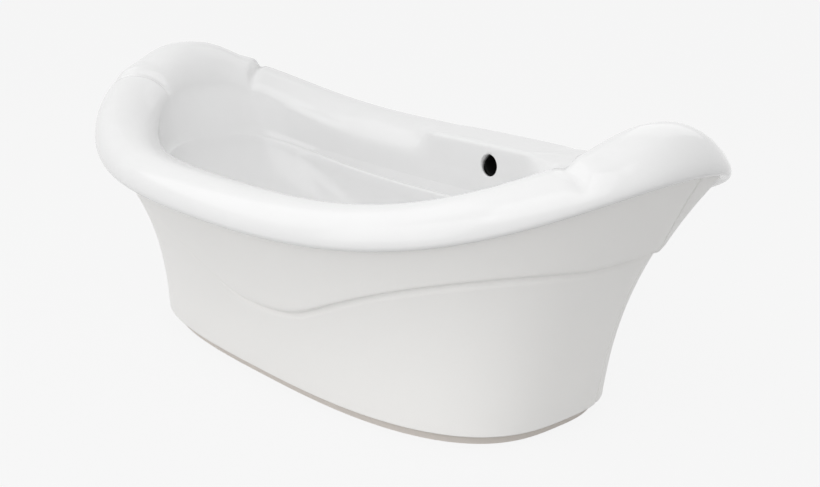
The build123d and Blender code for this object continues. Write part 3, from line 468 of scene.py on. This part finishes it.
class BATH_OT_basin(bpy.types.Operator):
    """Build the moulded basin with its rim, headrests, grooves, deck and holes"""

    bl_idname = "bath.basin"
    bl_label = "Basin"

    def execute(self, context):
        sizes = context.scene.bath_sizes
        fronts = front_stations(sizes, ledge=True)
        backs = back_stations(front_stations(sizes, ledge=False))
        bm = bmesh.new()
        order = bm.verts.layers.int.new("order")
        start = bmesh.ops.create_circle(bm, segments=AROUND, radius=WASTE_RADIUS * MM)["verts"]

        def direction(index):
            return crowded(index / AROUND)

        for i, vert in enumerate(start):
            vert[order] = i
            vert.co = waste_point(WASTE_RADIUS, FLOOR_TOP, direction(i))
        first = list(bm.edges)
        rings = [partial(floor_point, fronts[0], sizes, share, FLOOR_TOP) for share in FLOOR_RINGS]
        rings += [partial(station_point, station, sizes) for station in fronts]
        rings += [partial(station_point, station, sizes) for station in reversed(backs)]
        rings += [partial(floor_point, backs[0], sizes, share, FLOOR_UNDER) for share in UNDER_RINGS]
        last = grow_loops(bm, first, order, rings, direction)
        bmesh.ops.bridge_loops(bm, edges=first + last)
        basin = finish_mesh(bm, "basin_moulding")
        cut_overflow(basin)
        basin.data.materials.clear()
        basin.data.materials.append(gelcoat_finish(context.scene.bath_colours))
        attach(basin, "tub")
        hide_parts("basin")
        return {"FINISHED"}


# Apron

def apron_radius(phi, share, sizes):
    """Distance from the axis to the apron's plain outer face, at a share of its height."""
    flare = (1 - APRON_FLARE_SHARE) * share + APRON_FLARE_SHARE * share**APRON_FLARE_POWER
    top_length = sizes.length / MM / 2 - APRON_TOP_INSET
    top_width = sizes.width / MM / 2 - APRON_TOP_INSET
    base_length, base_width = APRON_BASE_SIZE
    low, high = APRON_SQUARENESS
    return oval_radius(phi, between(base_length, top_length, flare), between(base_width, top_width, flare),
                       between(low, high, share))


def apron_rise(phi, sizes):
    """Height of the apron from its foot to the lip."""
    top_length = sizes.length / MM / 2 - APRON_TOP_INSET
    ratio = abs(apron_radius(phi, 1, sizes) * cos(phi)) / top_length
    return rise(LIP_MID, LIP_END, ratio) - APRON_BASE_Z


def wave_height(angle):
    """Height of the wave in a direction, in degrees: steep after its trough, level past its crest."""
    turn = 2 * pi * (min(angle, WAVE_TROUGH + WAVE_PERIOD / 2) - WAVE_TROUGH) / WAVE_PERIOD
    steeper = WAVE_STEEPENING * sin(2 * turn) * smooth_step(turn / WAVE_STEEPENING_TURN)
    return WAVE_MEAN - WAVE_HEIGHT * cos(turn) - steeper


def apron_section(place, angle, full, sizes):
    """Share of the height, distance out from the plain face and lift of a place on the apron's section."""
    where, share = place
    low = (wave_height(angle) - APRON_BASE_Z) / full
    step = sizes.wave_step / MM / full
    fade = max(smooth_step((angle - start) / (end - start)) for start, end in WAVE_FADES)
    relief = sizes.wave_relief / MM * fade
    undercut = WAVE_UNDERCUT * fade
    if where == "lower":
        up = low * share
        under_wave = (low - up) * full / WAVE_UNDERCUT_HEIGHT
        return up, -undercut * smooth_step(1 - under_wave), 0
    if where == "step":
        return low + step * share, (relief + undercut) * smooth_step(share) - undercut, 0
    if where == "upper":
        return between(low + step, 1, share), relief, 0
    if where == "edge":
        return 1, relief - (relief + APRON_WALL) * share, APRON_TUCK
    if where == "inner":
        return 1 - share, -APRON_WALL, APRON_WALL * share
    return 0, -APRON_FLANGE, APRON_WALL * share


def apron_point(place, sizes, phi):
    """Point of the apron in the direction phi, at a place given as a stretch of its section and a share."""
    angle = degrees(phi)
    up, out, lift = apron_section(place, angle, apron_rise(phi, sizes), sizes)
    from_seam = min(abs(angle - SEAM_ANGLE), abs(angle - SEAM_ANGLE + 180))
    if place[0] in ("lower", "step", "upper"):
        seam = max(0.0, 1 - from_seam / SEAM_DIP_WIDTH)
        out -= seam * (SEAM_DIP + out)
    lean = SEAM_LEAN * max(0.0, (up - SEAM_LEAN_START) / (1 - SEAM_LEAN_START))
    phi -= radians(lean * max(0.0, 1 - from_seam / SEAM_LEAN_REACH))
    radius = apron_radius(phi, up, sizes) + out
    height = APRON_BASE_Z + apron_rise(phi, sizes) * up + lift
    return Vector((radius * cos(phi), radius * sin(phi), height)) * MM


# The section goes up the outer face, over the top edge, down the inner face and round the foot's flange
APRON_PLACES = ([("lower", share) for share in FOOT_RINGS]
                + [("lower", 1 - (1 - share) ** 2) for share in spread(0, 1, LOWER_RINGS)[1:]]
                + [("step", share) for share in spread(0, 1, STEP_RINGS)[1:]]
                + [("upper", share) for share in spread(0, 1, UPPER_RINGS)[1:]]
                + [("edge", 0), ("edge", 1)]
                + [("inner", share) for share in spread(0, 1, INNER_RINGS)]
                + [("flange", 1), ("flange", 0)])


def half_turn_share(share):
    """Share of a half turn, with the columns closer together at both seams."""
    return share - SEAM_CROWDING * sin(2 * pi * share) / (2 * pi)


def apron_half(name, sizes, turn):
    """Build one apron half, turned about the upright axis."""
    bm = bmesh.new()
    order = bm.verts.layers.int.new("order")
    start = radians(SEAM_ANGLE - 180)

    def direction(index):
        return start + half_turn_share(index / APRON_AROUND) * pi

    seed = bm.verts.new((cos(start), sin(start), 0))
    bmesh.ops.spin(bm, geom=[seed], axis=(0, 0, 1), cent=(0, 0, 0), angle=pi, steps=APRON_AROUND)
    column = pi / APRON_AROUND
    for vert in bm.verts:
        # Half a column keeps the first one from counting as a whole turn
        along = (atan2(vert.co.y, vert.co.x) - start + column / 2) % (2 * pi)
        vert[order] = int(along / column)
        vert.co = apron_point(("lower", 0), sizes, direction(vert[order]))
    first = list(bm.edges)
    rings = [partial(apron_point, place, sizes) for place in APRON_PLACES]
    last = grow_loops(bm, first, order, rings, direction)
    bmesh.ops.bridge_loops(bm, edges=first + last)
    bmesh.ops.holes_fill(bm, edges=[e for e in bm.edges if e.is_boundary])
    bmesh.ops.rotate(bm, verts=bm.verts, cent=(0, 0, 0), matrix=Matrix.Rotation(turn, 3, "Z"))
    return finish_mesh(bm, name)


class BATH_OT_apron(bpy.types.Operator):
    """Build the near and far halves of the waved apron"""

    bl_idname = "bath.apron"
    bl_label = "Apron"

    def execute(self, context):
        sizes = context.scene.bath_sizes
        skin = apron_finish(context.scene.bath_colours)
        for name, node, turn in APRON_HALVES:
            half = apron_half(name, sizes, turn)
            half.data.materials.append(skin)
            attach(half, "tub")
            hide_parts(node)
        return {"FINISHED"}


# Finishes

GRAIN_DETAIL = 3.0
GRAIN_SHADE = 0.97


def linear(hex_value):
    """Linear colour of an sRGB hex value."""
    channels = [int(hex_value[i:i + 2], 16) / 255 for i in (0, 2, 4)]
    return [c / 12.92 if c <= 0.04045 else ((c + 0.055) / 1.055) ** 2.4 for c in channels] + [1]


def add_node(tree, kind, settings=None, links=None):
    """Add a node with its settings and links."""
    node = tree.nodes.new(kind)
    for key, value in (settings or {}).items():
        if key in node.inputs:
            node.inputs[key].default_value = value
        else:
            setattr(node, key, value)
    for key, source in (links or {}).items():
        tree.links.new(source, node.inputs[key])
    return node


def moulded_finish(name, colour, grain_mm, bump_mm, **shader):
    """Material with a fine grain of a real size in its surface and its tone."""
    material = bpy.data.materials.new(name)
    material.use_nodes = True
    tree = material.node_tree
    tree.nodes.clear()
    where = add_node(tree, "ShaderNodeTexCoord")
    grain = add_node(tree, "ShaderNodeTexNoise", {"Scale": 1 / (grain_mm * MM), "Detail": GRAIN_DETAIL},
                     {"Vector": where.outputs["Object"]})
    tone = add_node(tree, "ShaderNodeMix", {"data_type": "RGBA"}, {"Factor": grain.outputs["Fac"]})
    dark, light = [socket for socket in tone.inputs if socket.type == "RGBA"]
    dark.default_value = [c * GRAIN_SHADE for c in linear(colour)[:3]] + [1]
    light.default_value = linear(colour)
    mixed = [socket for socket in tone.outputs if socket.type == "RGBA"][0]
    relief = add_node(tree, "ShaderNodeBump", {"Strength": 1.0, "Distance": bump_mm * MM},
                      {"Height": grain.outputs["Fac"]})
    surface = add_node(tree, "ShaderNodeBsdfPrincipled", shader,
                       {"Base Color": mixed, "Normal": relief.outputs["Normal"]})
    add_node(tree, "ShaderNodeOutputMaterial", None, {"Surface": surface.outputs["BSDF"]})
    return material


def gelcoat_finish(colours):
    """Glossy gelcoat, moulded against a polished tool: mirror-like with a very long, faint ripple."""
    return moulded_finish("white_gelcoat", colours.gelcoat, 60, 0.15, Roughness=0.14, IOR=1.5)


def apron_finish(colours):
    """Satin acrylic, moulded against a grained tool: fine grain, drawn coarse enough to show."""
    return moulded_finish("grained_white_acrylic", colours.apron, 2.2, 0.12, Roughness=0.45, IOR=1.49)


def fitting_finishes(colours):
    """Finishes of the pieces that keep their CAD shape, by material slot."""
    return {
        # Sealant smoothed by a wet finger: a soft sheen on slow waves
        "sealant": moulded_finish("white_silicone", "ECECE8", 8, 0.2, Roughness=0.4, IOR=1.41),
        # Extruded strip: even and nearly matt, with a faint pebble
        "plinth": moulded_finish("grey_pvc", colours.plinth, 3, 0.1, Roughness=0.55, IOR=1.53),
        # Pressed wood chips: mottled, rough and dull
        "board": moulded_finish("particle_board", "B99468", 4, 0.4, Roughness=0.85),
        # Powder baked on steel: satin with a fine orange peel
        "frame": moulded_finish("black_powder_coat", "2B2B2D", 1.5, 0.08, Roughness=0.5),
        # Moulded caps: satin with a fine grain
        "cap": moulded_finish("black_polypropylene", "1C1C1C", 2, 0.05, Roughness=0.5, IOR=1.49),
        # Plated steel: bright metal, slightly cloudy
        "zinc": moulded_finish("zinc_plate", "B9BCC0", 6, 0.02, Roughness=0.3, Metallic=1.0),
        # Plated over polished brass: a clear mirror with a hardly seen ripple
        "chrome": moulded_finish("polished_chrome", "D9DADC", 40, 0.01, Roughness=0.06, Metallic=1.0),
        # Moulded seals: dark and matt
        "rubber": moulded_finish("black_rubber", "161616", 2, 0.05, Roughness=0.7, IOR=1.52),
        # Moulded pipe fittings: dark, with a dull sheen
        "pipe": moulded_finish("black_waste_plastic", "101010", 5, 0.05, Roughness=0.6, IOR=1.49),
        # Extruded hose: grey and satin
        "hose": moulded_finish("grey_hose_plastic", "8C8C8C", 3, 0.1, Roughness=0.5, IOR=1.53),
    }


class BATH_OT_fittings(bpy.types.Operator):
    """Give the plinth, the frame, the feet and the waste their finishes"""

    bl_idname = "bath.fittings"
    bl_label = "Fittings"

    def execute(self, context):
        finishes = fitting_finishes(context.scene.bath_colours)
        slots = {part["node"]: part["material_slot"] for part in frame["record"]["subparts"]}
        for node, obj in frame["nodes"].items():
            if slots[node] in finishes:
                obj.data.materials.clear()
                obj.data.materials.append(finishes[slots[node]])
        return {"FINISHED"}


# Stage, in metres and watts

CAMERA_PLACE = (1.73606, -1.49359, 0.89152)
CAMERA_TARGET = (0.11579, 0.0147, 0.25928)
CAMERA_ROLL = 1.72
CAMERA_LENS = 48.05
SENSOR = 36
FLOOR_SIZE = 60
FLOOR_GLOW = 0.93
WORLD_LIGHT = 0.68
BACKDROP = 0.965
LAMP_TARGET = (0, 0, 0.35)
SOFTBOXES = (("front_softbox", (0.2, -3.0, 1.3), 2.2, 16),
             ("high_right_softbox", (1.9, -1.7, 2.6), 3.0, 32),
             ("high_left_softbox", (-1.8, -1.7, 2.6), 3.0, 17),
             ("rear_softbox", (-0.5, 2.4, 2.4), 2.2, 6))


def aim(place, target, roll=0):
    """Matrix of a lamp or camera at a place, looking at a target."""
    back = (Vector(place) - Vector(target)).normalized()
    side = Vector((0, 0, 1)).cross(back).normalized()
    up = back.cross(side)
    turn = radians(roll)
    right = side * cos(turn) + up * sin(turn)
    top = up * cos(turn) - side * sin(turn)
    return Matrix.Translation(place) @ Matrix((right, top, back)).transposed().to_4x4()


def softbox(name, place, size, power):
    """Soft square lamp, aimed at the bath."""
    data = bpy.data.lights.new(name, "AREA")
    data.size = size
    data.energy = power
    obj = bpy.data.objects.new(name, data)
    obj.matrix_world = aim(place, LAMP_TARGET)
    bpy.context.scene.collection.objects.link(obj)


def seen_straight(tree):
    """Socket that is 1 for what the camera, a mirror or glass sees, and 0 for light on a surface."""
    path = add_node(tree, "ShaderNodeLightPath")
    mirrored = add_node(tree, "ShaderNodeMath", {"operation": "MAXIMUM"},
                        {0: path.outputs["Is Camera Ray"], 1: path.outputs["Is Glossy Ray"]})
    through = add_node(tree, "ShaderNodeMath", {"operation": "MAXIMUM"},
                       {0: mirrored.outputs[0], 1: path.outputs["Is Transmission Ray"]})
    return through.outputs[0]


def studio_floor(colours):
    """Pale floor, plain to the camera apart from the bath's faint shadow."""
    bm = bmesh.new()
    bmesh.ops.create_grid(bm, x_segments=1, y_segments=1, size=FLOOR_SIZE / 2)
    floor = finish_mesh(bm, "studio_floor")
    material = bpy.data.materials.new("pale_floor_paint")
    material.use_nodes = True
    tree = material.node_tree
    tree.nodes.clear()
    paint = add_node(tree, "ShaderNodeBsdfDiffuse", {"Color": linear(colours.floor_paint)})
    glow = add_node(tree, "ShaderNodeEmission", {"Color": linear(colours.floor), "Strength": 1.0})
    seen = add_node(tree, "ShaderNodeMath", {"operation": "MULTIPLY"}, {0: seen_straight(tree)})
    seen.inputs[1].default_value = FLOOR_GLOW
    mix = add_node(tree, "ShaderNodeMixShader", None,
                   {0: seen.outputs[0], 1: paint.outputs[0], 2: glow.outputs[0]})
    add_node(tree, "ShaderNodeOutputMaterial", None, {"Surface": mix.outputs[0]})
    floor.data.materials.append(material)


def studio_light(colours):
    """Even light from all round, with the floor's own tone behind the bath where it is seen."""
    world = bpy.data.worlds.new("studio_light")
    world.use_nodes = True
    tree = world.node_tree
    tree.nodes.clear()
    light = add_node(tree, "ShaderNodeBackground", {"Color": (1, 1, 1, 1), "Strength": WORLD_LIGHT})
    backdrop = add_node(tree, "ShaderNodeBackground", {"Color": linear(colours.floor), "Strength": BACKDROP})
    mix = add_node(tree, "ShaderNodeMixShader", None,
                   {0: seen_straight(tree), 1: light.outputs[0], 2: backdrop.outputs[0]})
    add_node(tree, "ShaderNodeOutputWorld", None, {"Surface": mix.outputs[0]})
    return world


class BATH_OT_stage(bpy.types.Operator):
    """Set out the floor, the soft light and the camera"""

    bl_idname = "bath.stage"
    bl_label = "Stage"

    def execute(self, context):
        scene = context.scene
        scene.view_settings.view_transform = "Standard"
        studio_floor(scene.bath_colours)
        scene.world = studio_light(scene.bath_colours)
        for settings in SOFTBOXES:
            softbox(*settings)
        data = bpy.data.cameras.new("photo_camera")
        data.lens = CAMERA_LENS
        data.sensor_width = SENSOR
        data.sensor_fit = "HORIZONTAL"
        camera = bpy.data.objects.new("photo_camera", data)
        camera.matrix_world = aim(CAMERA_PLACE, CAMERA_TARGET, CAMERA_ROLL)
        scene.collection.objects.link(camera)
        scene.camera = camera
        return {"FINISHED"}


class BATH_PT_panel(bpy.types.Panel):
    """Lists the sizes, the colours and the pieces"""

    bl_label = "Bathtub"
    bl_idname = "BATH_PT_panel"
    bl_space_type = "VIEW_3D"
    bl_region_type = "UI"
    bl_category = "Bathtub"

    def draw(self, context):
        layout = self.layout
        for group in (context.scene.bath_sizes, context.scene.bath_colours):
            for key in group.__annotations__:
                layout.prop(group, key)
        for operator in OPERATORS:
            layout.operator(operator.bl_idname)


OPERATORS = (BATH_OT_stage, BATH_OT_basin, BATH_OT_apron, BATH_OT_fittings)
CLASSES = (BathSizes, BathColours) + OPERATORS + (BATH_PT_panel,)


def register():
    """Register the classes and the settings."""
    for cls in CLASSES:
        bpy.utils.register_class(cls)
    bpy.types.Scene.bath_sizes = bpy.props.PointerProperty(type=BathSizes)
    bpy.types.Scene.bath_colours = bpy.props.PointerProperty(type=BathColours)


def unregister():
    """Remove the settings and the classes."""
    del bpy.types.Scene.bath_colours
    del bpy.types.Scene.bath_sizes
    for cls in reversed(CLASSES):
        bpy.utils.unregister_class(cls)


def main():
    """Build everything in order."""
    register()
    bpy.ops.bath.stage()
    bpy.ops.bath.basin()
    bpy.ops.bath.apron()
    bpy.ops.bath.fittings()


if __name__ == "__main__":
    main()
